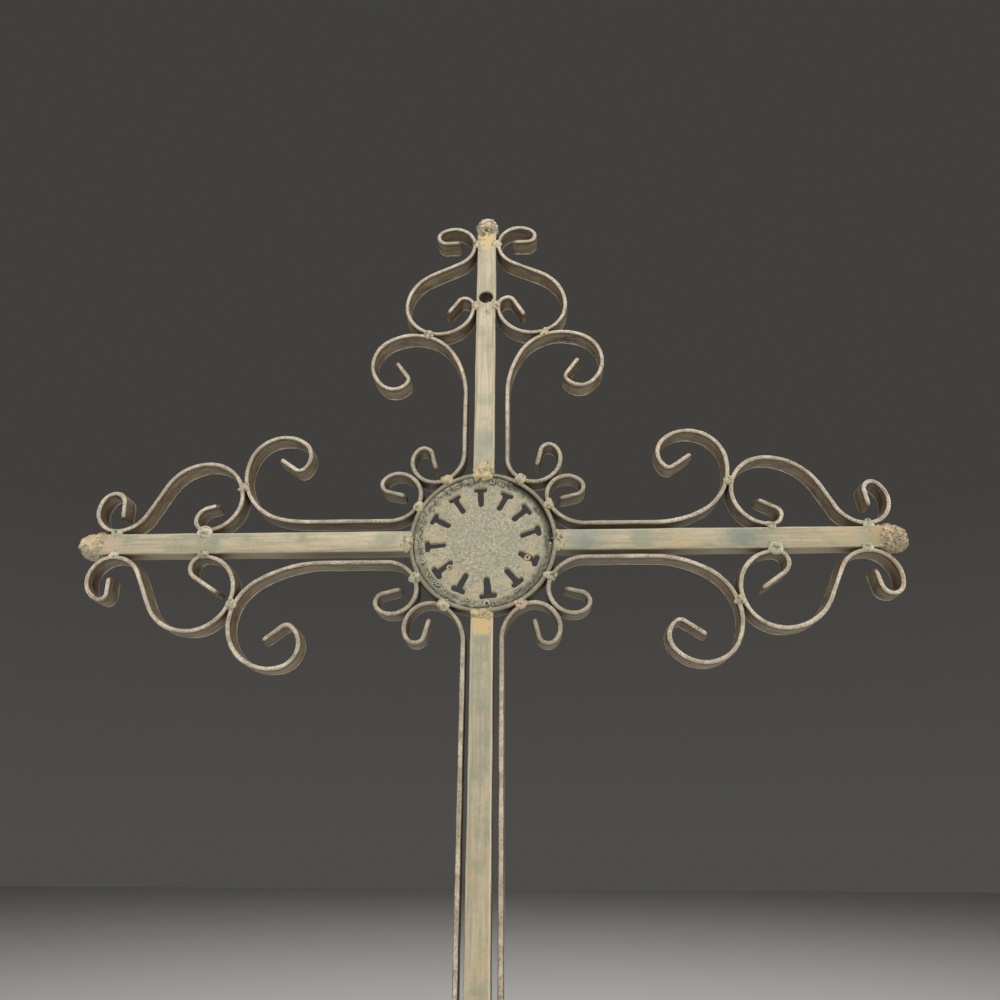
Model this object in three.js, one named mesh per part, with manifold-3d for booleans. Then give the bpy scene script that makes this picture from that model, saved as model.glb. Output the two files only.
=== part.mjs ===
// A wall cross of welded iron, painted in a worn khaki brown. Sizes are in millimetres.
// Four square tubes meet at a ring that holds a pierced rosette. Each tube ends in a ball.
// Beside each tube lie two pairs of scrolls, bent from flat bar that stands on edge.
// The foot is the longest arm, and the other three are alike.
// The cross hangs upright: +Z is up, the front faces -Y and the back of the bars is at Y = 0.
// The origin is the middle of the hanging hole, at the back of the top tube.

import * as THREE from "three";
import { mergeVertices } from "three/addons/utils/BufferGeometryUtils.js";
import Module from "manifold-3d";

const wasm = await Module();
wasm.setup();

// Arms, from the middle of the ring to the end of the ball.
const shortArmLength = 190.5;
const leftArmLength = 188.2; // came out a little shorter than its fellow
const footLength = 343;
const tubeWidth = 10;
const tubeWall = 1.2;
const tubeCornerRadius = 1.4;
const ballDiameter = 13;

// Hanging hole, drilled through the top tube.
const holeDiameter = 7.5;
const holeFromCentre = 134.7;

// Flat bar of the scrolls and the ring.
const barThickness = 2.2;
const barDepth = 10;
const ringOuterDiameter = 67.4;

// Rosette in the ring.
const discThickness = 2.6;
const discRecess = 1.6; // how far its face lies behind the ring's front edge
const discLipWidth = 3.2;
const discLipHeight = 0.7;
const slotCount = 12;
const slotTurn = THREE.MathUtils.degToRad(5.5);
const slotInnerRadius = 17;
const slotOuterRadius = 26.2;
const slotWidth = 2.5;
const slotHeadWidth = 6;
const slotHeadDepth = 2.8;

// Outer scroll: an S that touches the tube twice, once at each curl.
const endContactInset = 20.5; // from the end of the ball to the end curl's contact
const outerRise = { radius: 14.2, turn: 63.8 }; // leaves the tube
const outerShoulder = 22.8; // radius above the straight slope
const outerLoopTop = 17.4;
const outerLoopFoot = 17.2;
const outerHook = { radius: 5, turn: 90 };
const endCurl = { radius: 11.1, turn: 127.7 };
const endCurlClose = { radius: 4.1, turn: 142.8 };
const endCurlTip = 8;

// Inner scroll: a C with its long back beside the tube.
const innerLift = { radius: 46.5, turn: 31.5 };
const innerSide = { radius: 24, turn: 85.8 };
const innerCrown = { radius: 16.4, turn: 113.4 };
const innerCurl = { radius: 8.1, turn: 96.6 };
const innerCurlClose = { radius: 3, turn: 67.7 };
const innerCurlTip = 11.3;
const ringTouchAngle = 29.5; // from the tube to where the bar leans on the ring
const ringCurlMid = { radius: 8, turn: 45 };
const ringCurlClose = { radius: 4.1, turn: 121 };
const ringCurlTip = 8.5;

// Weld beads, as half widths, on the front edge of a joint.
const beadLength = 2.7;
const beadWidth = 2.5;
const beadHeight = 1.1;
const beadInset = 1; // how far a bead's middle lies in from the tube's side
const seamBeadLength = 3.6;
const seamBeadWidth = 4;
const collarBead = 2.6;

// Pieces that are welded together stand this far apart.
const gap = 0.3;
// Round outlines are drawn with chords no further than this from the true curve.
const chordError = 0.3;

// The scrolls were bent by hand, so they differ: in the gap between the tube and the straight
// back, in how far the curl at the ring leans over the diagonal between two arms, in how much
// nearer the ball the outer scroll sits, and in their curls.
const evenBend = {
  runGap: 3,
  leanOffset: 0,
  slide: 0,
  shoulder: outerShoulder,
  loopTop: outerLoopTop,
  loopFoot: outerLoopFoot,
  hookClose: { radius: 4.2, turn: 60 },
  hookTip: 11.5,
  endCurl,
  endClose: endCurlClose,
  lift: innerLift,
  side: innerSide,
  crown: innerCrown,
  curl: innerCurl,
  close: innerCurlClose,
  tip: innerCurlTip,
  ringCurl: ringCurlMid,
};
const topLeftBend = {
  ...evenBend,
  runGap: 3.3,
  hookClose: { radius: 3.2, turn: 55 },
  hookTip: 10.2,
};
const topRightBend = {
  ...evenBend,
  runGap: 5,
  leanOffset: 1.1,
  hookClose: { radius: 3.5, turn: 60 },
  hookTip: 11,
};
const rightUpperBend = {
  ...evenBend,
  runGap: 1.8,
  leanOffset: -1.1,
  slide: 2,
  shoulder: 25.7,
  loopTop: 17.2,
  loopFoot: 16.1,
  hookClose: { radius: 3, turn: 61.5 },
  hookTip: 9.7,
  endCurl: { radius: 11.2, turn: 134.2 },
  endClose: { radius: 4, turn: 142.8 },
  lift: { radius: 47.1, turn: 25 },
  side: { radius: 26.4, turn: 73.3 },
  crown: { radius: 16.8, turn: 127.5 },
  curl: { radius: 9.3, turn: 90.4 },
  close: { radius: 3, turn: 79.4 },
  tip: 11.5,
  ringCurl: { radius: 8.7, turn: 45 },
};
const rightLowerBend = {
  ...evenBend,
  runGap: 2.2,
  hookClose: { radius: 6, turn: 55 },
  hookTip: 13,
  endCurl: { radius: 12.4, turn: 110 },
  endClose: { radius: 4.6, turn: 150 },
};
const leftUpperBend = {
  ...evenBend,
  runGap: 3.8,
  slide: 2.2,
  shoulder: 20.4,
  loopTop: 18.6,
  loopFoot: 15.2,
  hookClose: { radius: 6.2, turn: 75 },
  hookTip: 5,
  endCurl: { radius: 10.7, turn: 122.7 },
  endClose: { radius: 5.4, turn: 143.1 },
  lift: { radius: 48.2, turn: 15 },
  side: { radius: 24.6, turn: 92.6 },
  crown: { radius: 16.1, turn: 111.6 },
  curl: { radius: 8.8, turn: 98.8 },
  close: { radius: 3, turn: 77.5 },
  tip: 10.3,
  ringCurl: { radius: 8.6, turn: 45 },
};
const leftLowerBend = {
  ...evenBend,
  runGap: 3.9,
  slide: 1.1,
  shoulder: 21.2,
  loopTop: 18.4,
  loopFoot: 16.1,
  hookClose: { radius: 5.8, turn: 57.3 },
  hookTip: 14.5,
  endCurl: { radius: 10.2, turn: 158.5 },
  endClose: { radius: 2.8, turn: 114.6 },
  lift: { radius: 55.7, turn: 31.3 },
  side: { radius: 21.9, turn: 71.5 },
  crown: { radius: 20.2, turn: 87.7 },
  curl: { radius: 10, turn: 136.1 },
  close: { radius: 3, turn: 71.8 },
  tip: 10.7,
};
const footLeftBend = { ...evenBend, runGap: 1.9, ringCurl: { radius: 7.3, turn: 45 } };
const footRightBend = { ...evenBend, runGap: 2.5 };

const halfTube = tubeWidth / 2;
const halfBar = barThickness / 2;
const contactHeight = halfTube + gap + halfBar;
const ringOuterRadius = ringOuterDiameter / 2;
const ringInnerRadius = ringOuterRadius - barThickness;
const ringLineRadius = ringOuterRadius + gap + halfBar;
const ballRadius = ballDiameter / 2;
// The ball sits on the inner edges of the tube's mouth.
const ballToMouth = Math.sqrt((ballRadius + gap) ** 2 - (halfTube - tubeWall) ** 2);
const front = barDepth;
const middle = barDepth / 2;

const radians = THREE.MathUtils.degToRad;

// Solids: closed meshes that can be joined and cut.
function solidOf(geometry) {
  const bare = geometry.clone();
  bare.deleteAttribute("normal");
  bare.deleteAttribute("uv");
  const merged = mergeVertices(bare, 1e-4);
  return new wasm.Manifold(
    new wasm.Mesh({
      numProp: 3,
      vertProperties: Float32Array.from(merged.attributes.position.array),
      triVerts: Uint32Array.from(merged.index.array),
    }),
  );
}

function geometryOf(solid) {
  const mesh = solid.getMesh();
  const geometry = new THREE.BufferGeometry();
  geometry.setAttribute("position", new THREE.BufferAttribute(mesh.vertProperties, 3));
  geometry.setIndex(new THREE.BufferAttribute(mesh.triVerts, 1));
  const faceted = geometry.toNonIndexed();
  faceted.computeVertexNormals();
  return faceted;
}

function ellipsoid(length, width, height, x, y, z) {
  const shape = new THREE.SphereGeometry(1, 6, 3);
  shape.scale(length, width, height);
  shape.translate(x, y, z);
  return solidOf(shape);
}

function chordSteps(radius, turn) {
  const step = 2 * Math.acos(1 - Math.min(chordError / radius, 0.5));
  return Math.max(2, Math.ceil(turn / step));
}

// A drawn line of arcs and straights, as a smith lays out a bar: each piece goes on from
// the last one's end and direction. Left turns are positive, and angles are in degrees.
class BarLine {
  constructor(x, y, heading) {
    this.end = new THREE.Vector2(x, y);
    this.heading = radians(heading);
    this.points = [{ at: this.end.clone(), heading: this.heading }];
  }

  straight(length) {
    this.end.x += length * Math.cos(this.heading);
    this.end.y += length * Math.sin(this.heading);
    this.points.push({ at: this.end.clone(), heading: this.heading });
    return this;
  }

  turn(radius, degrees) {
    const side = Math.sign(degrees);
    const sweep = radians(Math.abs(degrees));
    const centre = new THREE.Vector2(
      this.end.x - side * radius * Math.sin(this.heading),
      this.end.y + side * radius * Math.cos(this.heading),
    );
    const count = chordSteps(radius, sweep);
    const from = this.heading;
    for (let k = 1; k <= count; k++) {
      this.heading = from + (side * sweep * k) / count;
      this.end.set(
        centre.x + side * radius * Math.sin(this.heading),
        centre.y - side * radius * Math.cos(this.heading),
      );
      this.points.push({ at: this.end.clone(), heading: this.heading });
    }
    return this;
  }

  // The same line walked the other way.
  reversed() {
    return this.points
      .map(({ at, heading }) => ({ at, heading: heading + Math.PI }))
      .reverse();
  }
}

// Flat bar on edge along a line, with some spare all round when it is a clearance.
function barAlong(points, side, spare = 0) {
  const half = halfBar + spare;
  const edge = (sign) =>
    points.map(
      ({ at, heading }) =>
        new THREE.Vector2(
          at.x - sign * half * Math.sin(heading),
          side * (at.y + sign * half * Math.cos(heading)),
        ),
    );
  const outline = new THREE.Shape([...edge(1), ...edge(-1).reverse()]);
  const bar = new THREE.ExtrudeGeometry(outline, {
    depth: barDepth + 2 * spare,
    bevelEnabled: false,
  });
  bar.translate(0, 0, -spare);
  return bar;
}

// Outer scroll, in the arm's frame: x runs out along the tube and y away from it.
function outerScroll(armLength, bend) {
  const touch = armLength - endContactInset + bend.slide;
  const turn = radians(outerRise.turn);
  const lift = (outerRise.radius + bend.shoulder) * (1 - Math.cos(turn));
  const loopHeight = bend.loopTop + bend.loopFoot;
  const slope = (loopHeight - lift) / Math.sin(turn);
  const reach =
    (outerRise.radius + bend.shoulder) * Math.sin(turn) + slope * Math.cos(turn);
  const inward = new BarLine(touch, contactHeight, 180)
    .turn(outerRise.radius, -outerRise.turn)
    .straight(slope)
    .turn(bend.shoulder, outerRise.turn)
    .turn(bend.loopTop, 90)
    .turn(bend.loopFoot, 90)
    .turn(outerHook.radius, outerHook.turn)
    .turn(bend.hookClose.radius, bend.hookClose.turn)
    .straight(bend.hookTip);
  const outward = new BarLine(touch, contactHeight, 0)
    .turn(bend.endCurl.radius, bend.endCurl.turn)
    .turn(bend.endClose.radius, bend.endClose.turn)
    .straight(endCurlTip);
  const loopCentre = new THREE.Vector2(touch - reach, contactHeight + bend.loopFoot);
  return {
    points: [...inward.reversed(), ...outward.points.slice(1)],
    loopCentre,
    endTouch: touch,
    hookTouch: loopCentre.x - bend.loopTop + bend.loopFoot,
  };
}

// Inner scroll: its head is pushed along the tube until it touches the outer scroll's
// loop, and its other end bends to lean on the ring and curls up beside its neighbour.
function innerScroll(loopCentre, bend) {
  const runHeight = halfTube + bend.runGap + halfBar;
  const liftTurn = radians(bend.lift.turn);
  const spread = bend.lift.radius - bend.side.radius;
  const sideCentreY = runHeight + bend.lift.radius - spread * Math.cos(liftTurn);
  const between = bend.side.radius + bend.loopTop + barThickness + gap;
  const rise = sideCentreY - loopCentre.y;
  const sideCentreX = loopCentre.x - Math.sqrt(between * between - rise * rise);
  const headStart = sideCentreX - spread * Math.sin(liftTurn);
  const headTouch = new THREE.Vector2(sideCentreX, sideCentreY).lerp(
    loopCentre,
    (bend.side.radius + halfBar + gap / 2) / between,
  );

  const touchAngle = radians(ringTouchAngle);
  const bendRadius =
    (ringLineRadius * Math.sin(touchAngle) - runHeight) / (1 - Math.sin(touchAngle));
  const bendCentreX = (ringLineRadius + bendRadius) * Math.cos(touchAngle);
  const ringTouch = new THREE.Vector2(
    ringLineRadius * Math.cos(touchAngle),
    ringLineRadius * Math.sin(touchAngle),
  );
  // The curl grows until it meets the next arm's curl near the diagonal.
  const leave = touchAngle + Math.PI / 2;
  const toDiagonal = (ringTouch.x - ringTouch.y) / Math.SQRT2 + bend.leanOffset;
  const share = (Math.sin(leave) + Math.cos(leave)) / Math.SQRT2;
  const ringCurlRadius = (toDiagonal - halfBar - gap / 2) / (1 - share);
  const leaveDegrees = ringTouchAngle + 90;

  const inward = new BarLine(headStart, runHeight, 180)
    .straight(headStart - bendCentreX)
    .turn(bendRadius, leaveDegrees - 180)
    .turn(ringCurlRadius, -leaveDegrees)
    .turn(bend.ringCurl.radius, -bend.ringCurl.turn)
    .turn(ringCurlClose.radius, -ringCurlClose.turn)
    .straight(ringCurlTip);
  const outward = new BarLine(headStart, runHeight, 0)
    .turn(bend.lift.radius, bend.lift.turn)
    .turn(bend.side.radius, bend.side.turn)
    .turn(bend.crown.radius, bend.crown.turn)
    .turn(bend.curl.radius, bend.curl.turn)
    .turn(bend.close.radius, bend.close.turn)
    .straight(bend.tip);
  return {
    points: [...inward.reversed(), ...outward.points.slice(1)],
    headTouch,
    ringTouch,
  };
}

function roundedSquare(width, radius) {
  const half = width / 2;
  const inset = half - radius;
  const square = new THREE.Shape();
  square.moveTo(inset, -half);
  square.absarc(inset, -inset, radius, -Math.PI / 2, 0);
  square.absarc(inset, inset, radius, 0, Math.PI / 2);
  square.absarc(-inset, inset, radius, Math.PI / 2, Math.PI);
  square.absarc(-inset, -inset, radius, Math.PI, 1.5 * Math.PI);
  return square;
}

function cylinder(radius, height, x, y, z, segments) {
  const shape = new THREE.CylinderGeometry(radius, radius, height, segments);
  shape.rotateX(Math.PI / 2);
  shape.translate(x, y, z);
  return solidOf(shape);
}

// Ring and its clearance, turned from one profile.
function ringGeometry(spare = 0) {
  const inner = ringInnerRadius - spare;
  const outer = ringOuterRadius + spare;
  const low = -spare;
  const high = barDepth + spare;
  const profile = [
    new THREE.Vector2(inner, low),
    new THREE.Vector2(outer, low),
    new THREE.Vector2(outer, high),
    new THREE.Vector2(inner, high),
    new THREE.Vector2(inner, low),
  ];
  const ring = new THREE.LatheGeometry(profile, chordSteps(outer, 2 * Math.PI));
  ring.rotateX(Math.PI / 2);
  return ring;
}

// One slot between two petals of the rosette: a round-ended stem that flares at the rim.
function petalSlot(angle) {
  const half = slotWidth / 2;
  const headStart = slotOuterRadius - slotHeadDepth;
  const slot = new THREE.Path();
  slot.moveTo(headStart, half);
  slot.lineTo(slotInnerRadius + half, half);
  slot.absarc(slotInnerRadius + half, 0, half, Math.PI / 2, 1.5 * Math.PI);
  slot.lineTo(headStart, -half);
  slot.lineTo(slotOuterRadius, -slotHeadWidth / 2);
  slot.lineTo(slotOuterRadius, slotHeadWidth / 2);
  const turned = slot
    .getPoints(2)
    .map((p) => p.rotateAround(new THREE.Vector2(), angle));
  return new THREE.Path(turned);
}

// A flat round plate with openings, from one height up.
function roundPlate(radius, openings, z, thickness) {
  const plate = new THREE.Shape();
  plate.absarc(0, 0, radius, 0, 2 * Math.PI);
  plate.holes.push(...openings);
  const body = new THREE.ExtrudeGeometry(plate, {
    depth: thickness,
    bevelEnabled: false,
    curveSegments: 14,
  });
  body.translate(0, 0, z);
  return solidOf(body);
}

// Rosette: a pierced plate with a low lip, behind the ring's front edge.
function discSolid() {
  const radius = ringInnerRadius - gap;
  const face = front - discRecess;
  const slots = Array.from({ length: slotCount }, (_, k) =>
    petalSlot(slotTurn + (k * 2 * Math.PI) / slotCount),
  );
  const dish = new THREE.Path();
  dish.absarc(0, 0, radius - discLipWidth, 0, 2 * Math.PI);
  const plate = roundPlate(radius, slots, face - discThickness, discThickness);
  return plate.add(roundPlate(radius, [dish], face - gap, discLipHeight + gap));
}

// Weld beads on the front edge of the tube, where an outer scroll touches it.
function tubeBeads(outer, side) {
  const clearance = solidOf(barAlong(outer.points, side, gap));
  return [outer.hookTouch, outer.endTouch].map((x) =>
    ellipsoid(
      beadLength,
      beadWidth,
      beadHeight,
      x,
      side * (halfTube - beadInset),
      front,
    ).subtract(clearance),
  );
}

// Tube of one arm, coped to the ring, with the weld beads of its joints.
function tubeSolid(armLength, beads, hasHole) {
  const mouth = armLength - ballRadius - ballToMouth;
  const start = ringInnerRadius;
  const section = roundedSquare(tubeWidth, tubeCornerRadius);
  section.holes.push(roundedSquare(tubeWidth - 2 * tubeWall, tubeCornerRadius / 2));
  const tube = new THREE.ExtrudeGeometry(section, {
    depth: mouth - start,
    bevelEnabled: false,
    curveSegments: 1,
  });
  tube.rotateY(Math.PI / 2);
  tube.translate(start, 0, middle);
  const seam = ellipsoid(
    seamBeadLength,
    seamBeadWidth,
    beadHeight,
    ringOuterRadius + seamBeadLength / 2,
    0,
    front,
  );
  let solid = solidOf(tube).add(seam).subtract(solidOf(ringGeometry(gap)));
  for (const bead of beads) {
    solid = solid.add(bead);
  }
  if (hasHole) {
    const hole = cylinder(holeDiameter / 2, 2 * barDepth, holeFromCentre, 0, middle, 16);
    solid = solid.subtract(hole);
  }
  return solid;
}

// Ball with the collar of weld that holds it on the tube's mouth, clear of the scrolls.
function ballSolid(armLength, scrolls) {
  const centre = armLength - ballRadius;
  const mouth = centre - ballToMouth;
  const ball = new THREE.SphereGeometry(ballRadius, 12, 8);
  ball.rotateZ(Math.PI / 2);
  ball.translate(centre, 0, middle);
  const sleeveWidth = tubeWidth + 2 * gap;
  const sleeve = new THREE.BoxGeometry(mouth, sleeveWidth, sleeveWidth);
  sleeve.translate(mouth / 2 + gap, 0, middle);
  let solid = solidOf(ball);
  for (let k = 0; k < 4; k++) {
    const angle = (k * Math.PI) / 2;
    const bead = ellipsoid(
      collarBead,
      collarBead,
      collarBead,
      mouth + gap,
      (halfTube - gap) * Math.cos(angle),
      middle + (halfTube - gap) * Math.sin(angle),
    );
    solid = solid.add(bead.subtract(solidOf(sleeve)));
  }
  for (const scroll of scrolls) {
    solid = solid.subtract(scroll);
  }
  return solid;
}

// Inner scroll with the beads that join it to the ring and to the outer scroll.
function innerScrollSolid(inner, outer, side) {
  const onHead = ellipsoid(
    beadWidth,
    beadLength,
    beadHeight,
    inner.headTouch.x,
    side * inner.headTouch.y,
    front,
  ).subtract(solidOf(barAlong(outer.points, side, gap)));
  const onRing = ellipsoid(
    beadWidth,
    beadWidth,
    beadHeight,
    inner.ringTouch.x,
    side * inner.ringTouch.y,
    front,
  ).subtract(solidOf(ringGeometry(gap)));
  return solidOf(barAlong(inner.points, side)).add(onHead).add(onRing);
}

const tubePaint = new THREE.MeshStandardMaterial({
  color: "#a69c7c",
  roughness: 0.55,
  metalness: 0.25,
});
const barPaint = new THREE.MeshStandardMaterial({
  color: "#7d725a",
  roughness: 0.6,
  metalness: 0.25,
});
const castPaint = new THREE.MeshStandardMaterial({
  color: "#a39b85",
  roughness: 0.8,
  metalness: 0.2,
});

function piece(name, geometry, material) {
  const mesh = new THREE.Mesh(geometry, material);
  mesh.name = name;
  return mesh;
}

// One arm lies along +X here, and its group is turned to its place. The first bend is for
// the scrolls on its left, as seen from the ring, and the second for those on its right.
function makeArm(name, armLength, turn, bends, hasHole = false) {
  const arm = new THREE.Group();
  arm.rotation.z = radians(turn);
  const beads = [];
  const clearances = [];
  Object.entries(bends).forEach(([sideName, bend], k) => {
    const side = k === 0 ? 1 : -1;
    const outer = outerScroll(armLength, bend);
    const inner = innerScroll(outer.loopCentre, bend);
    const innerBar = geometryOf(innerScrollSolid(inner, outer, side));
    const outerBar = barAlong(outer.points, side);
    arm.add(piece(`${name}_inner_scroll_${sideName}`, innerBar, barPaint));
    arm.add(piece(`${name}_outer_scroll_${sideName}`, outerBar, barPaint));
    beads.push(...tubeBeads(outer, side));
    clearances.push(solidOf(barAlong(outer.points, side, gap)));
  });
  const tube = geometryOf(tubeSolid(armLength, beads, hasHole));
  arm.add(piece(`${name}_tube`, tube, tubePaint));
  arm.add(piece(`${name}_ball`, geometryOf(ballSolid(armLength, clearances)), tubePaint));
  return arm;
}

const rightBends = { upper: rightUpperBend, lower: rightLowerBend };
const topBends = { left: topLeftBend, right: topRightBend };
const leftBends = { lower: leftLowerBend, upper: leftUpperBend };
const footBends = { right: footRightBend, left: footLeftBend };

// The face is drawn with its front up and then stood upright.
const face = new THREE.Group();
face.add(piece("ring", ringGeometry(), barPaint));
face.add(piece("rosette", geometryOf(discSolid()), castPaint));
face.add(makeArm("right", shortArmLength, 0, rightBends));
face.add(makeArm("top", shortArmLength, 90, topBends, true));
face.add(makeArm("left", leftArmLength, 180, leftBends));
face.add(makeArm("foot", footLength, 270, footBends));
face.rotation.x = Math.PI / 2;
face.position.z = -holeFromCentre;

const cross = new THREE.Group();
cross.add(face);

export default cross;
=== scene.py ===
import math
import random

import bmesh
import bpy
from mathutils import Matrix, Vector


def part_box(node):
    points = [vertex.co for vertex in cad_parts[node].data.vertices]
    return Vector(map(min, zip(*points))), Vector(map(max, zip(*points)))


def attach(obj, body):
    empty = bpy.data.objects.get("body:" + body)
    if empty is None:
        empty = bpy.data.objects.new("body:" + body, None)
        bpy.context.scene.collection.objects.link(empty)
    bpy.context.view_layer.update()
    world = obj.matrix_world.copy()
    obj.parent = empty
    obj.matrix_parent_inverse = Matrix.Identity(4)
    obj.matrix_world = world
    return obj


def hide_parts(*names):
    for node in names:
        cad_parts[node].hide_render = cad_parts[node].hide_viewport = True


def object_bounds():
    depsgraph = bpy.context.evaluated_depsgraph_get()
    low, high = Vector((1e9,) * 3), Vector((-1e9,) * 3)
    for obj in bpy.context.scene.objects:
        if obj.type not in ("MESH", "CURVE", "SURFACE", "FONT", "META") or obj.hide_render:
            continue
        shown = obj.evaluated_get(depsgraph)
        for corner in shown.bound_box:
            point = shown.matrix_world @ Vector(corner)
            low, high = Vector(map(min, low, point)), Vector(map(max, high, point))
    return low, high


# A welded iron wall cross in worn khaki paint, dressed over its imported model.
# Sizes are written in millimetres, and mm turns them into Blender's metres.
# Each arm is made lying along +X with its front up, and is then turned and stood upright.

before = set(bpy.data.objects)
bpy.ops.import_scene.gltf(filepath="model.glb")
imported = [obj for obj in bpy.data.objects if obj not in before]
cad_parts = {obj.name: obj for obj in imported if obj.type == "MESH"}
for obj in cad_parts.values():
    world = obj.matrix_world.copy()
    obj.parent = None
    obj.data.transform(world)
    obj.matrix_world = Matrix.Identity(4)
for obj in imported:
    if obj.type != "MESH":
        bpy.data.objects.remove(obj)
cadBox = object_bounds()
random.seed(7)
mm = 0.001

ringLow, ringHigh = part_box("ring")
centreZ = (ringLow.z + ringHigh.z) / 2  # height of the ring's middle, where the arms meet
centre = centreZ / mm
holeFromCentre = -centre  # the frame's origin is the middle of the hanging hole
ringRadius = (ringHigh.x - ringLow.x) / 2 / mm
shortArm = cadBox[1][0] / mm
leftArm = -cadBox[0][0] / mm
footArm = (centreZ - cadBox[0][2]) / mm

gap = 0.3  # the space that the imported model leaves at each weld
bar = {
    "thickness": 2.2,
    "depth": 10,
    "edgeRound": 0.9,
    "tipRound": 2.4,
    "bendStep": 5,  # degrees
    "straightStep": 6,
    "waveSize": 10,
    "waves": 0.45,
}
front = bar["depth"]
middle = front / 2
halfBar = bar["thickness"] / 2
ringLine = ringRadius + gap + halfBar  # middle line of a bar that leans on the ring

print("frame loaded, ring radius", round(ringRadius, 2), "mm, foot arm", round(footArm, 1), "mm")


def paintColor(hexValue):
    channels = [int(hexValue[i : i + 2], 16) / 255 for i in (1, 3, 5)]
    linear = [c / 12.92 if c <= 0.04045 else ((c + 0.055) / 1.055) ** 2.4 for c in channels]
    return (*linear, 1.0)


def addNode(tree, kind, settings=None, links=None):
    node = tree.nodes.new(kind)
    for key, value in (settings or {}).items():
        if isinstance(key, int) or key in node.inputs:
            node.inputs[key].default_value = value
        else:
            setattr(node, key, value)
    for key, socket in (links or {}).items():
        tree.links.new(socket, node.inputs[key])
    return node


def mixColor(tree, factor, first, second):
    mix = addNode(tree, "ShaderNodeMix", {"data_type": "RGBA"}, {0: factor})
    for index, value in ((6, first), (7, second)):
        if isinstance(value, str):
            mix.inputs[index].default_value = paintColor(value)
        else:
            tree.links.new(value, mix.inputs[index])
    return mix.outputs[2]


def maths(tree, operation, first, second=0):
    node = addNode(tree, "ShaderNodeMath", {"operation": operation})
    for index, value in enumerate((first, second)):
        if isinstance(value, (int, float)):
            node.inputs[index].default_value = value
        else:
            tree.links.new(value, node.inputs[index])
    return node.outputs[0]


def mottle(tree, coords, size, detail=3.0, roughness=0.5):
    settings = {"Scale": 1 / (size * mm), "Detail": detail, "Roughness": roughness}
    return addNode(tree, "ShaderNodeTexNoise", settings, {"Vector": coords}).outputs["Fac"]


def streaks(tree, coords, sizes, detail, roughness=0.5):
    # a mottle drawn out to its own size along each axis
    scale = [1 / (size * mm) for size in sizes]
    drawn = addNode(tree, "ShaderNodeMapping", {"Scale": scale}, {"Vector": coords})
    return mottle(tree, drawn.outputs[0], 1 / mm, detail, roughness)


def spread(tree, value, low, high, toLow=0.0, toHigh=1.0):
    settings = {"From Min": low, "From Max": high, "To Min": toLow, "To Max": toHigh}
    return addNode(tree, "ShaderNodeMapRange", settings, {"Value": value}).outputs[0]


def startCoat(name):
    material = bpy.data.materials.new(name)
    material.use_nodes = True
    material.node_tree.nodes.clear()
    coords = addNode(material.node_tree, "ShaderNodeTexCoord")
    return material, material.node_tree, coords.outputs["Object"], coords.outputs["Normal"]


def finishCoat(tree, color, roughness, metallic, relief, reliefHeight):
    settings = {"Strength": 1.0, "Distance": reliefHeight * mm}
    bump = addNode(tree, "ShaderNodeBump", settings, {"Height": relief})
    links = {"Base Color": color, "Roughness": roughness, "Normal": bump.outputs[0]}
    shader = addNode(tree, "ShaderNodeBsdfPrincipled", {"Metallic": metallic}, links)
    addNode(tree, "ShaderNodeOutputMaterial", {}, {"Surface": shader.outputs[0]})


def onAxis(tree, vector, axis):
    return addNode(tree, "ShaderNodeSeparateXYZ", {}, {0: vector}).outputs[axis]


def awayFrom(tree, coords, place):
    settings = {"operation": "DISTANCE", 1: place}
    return addNode(tree, "ShaderNodeVectorMath", settings, {0: coords}).outputs["Value"]


def fromRingMiddle(tree, coords):
    # the distance that the front view shows
    settings = {"operation": "MULTIPLY", 1: (1, 0, 1)}
    flat = addNode(tree, "ShaderNodeVectorMath", settings, {0: coords})
    return awayFrom(tree, flat.outputs[0], (0, 0, centreZ))


def patchMask(tree, coords, place, radius, soft=0.6):
    # 1 inside a ragged round patch of the surface, 0 outside
    away = awayFrom(tree, coords, [c * mm for c in place])
    ragged = spread(tree, mottle(tree, coords, 3), 0.3, 0.7, -1.8 * mm, 1.8 * mm)
    edge = maths(tree, "ADD", away, ragged)
    return spread(tree, edge, (radius + soft) * mm, (radius - soft) * mm)


def crevices(tree, reach):
    # 1 in the bottom of pits and seams, by ambient occlusion: grime there and painted shade
    settings = {"Distance": reach * mm, "only_local": True, "samples": 6}
    hidden = addNode(tree, "ShaderNodeAmbientOcclusion", settings)
    return spread(tree, hidden.outputs["AO"], 0.85, 0.45)


khaki = {
    "light": "#c2b598",
    "mid": "#a79a7f",
    "green": "#93967f",
    "tan": "#c2ab84",
    "side": "#8f8269",
    "shade": "#6a604b",
    "slate": "#868c7c",
    "patch": "#cbb07c",
    "dirtAndShade": "#3d362a",
}

tubePaint = {
    "lineLength": 30,
    "lineWidth": 1.3,
    "cloudSize": 14,
    "warmSize": 19,
    "grainSize": 0.7,
    "corner": "#d2c5a8",
}


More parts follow.
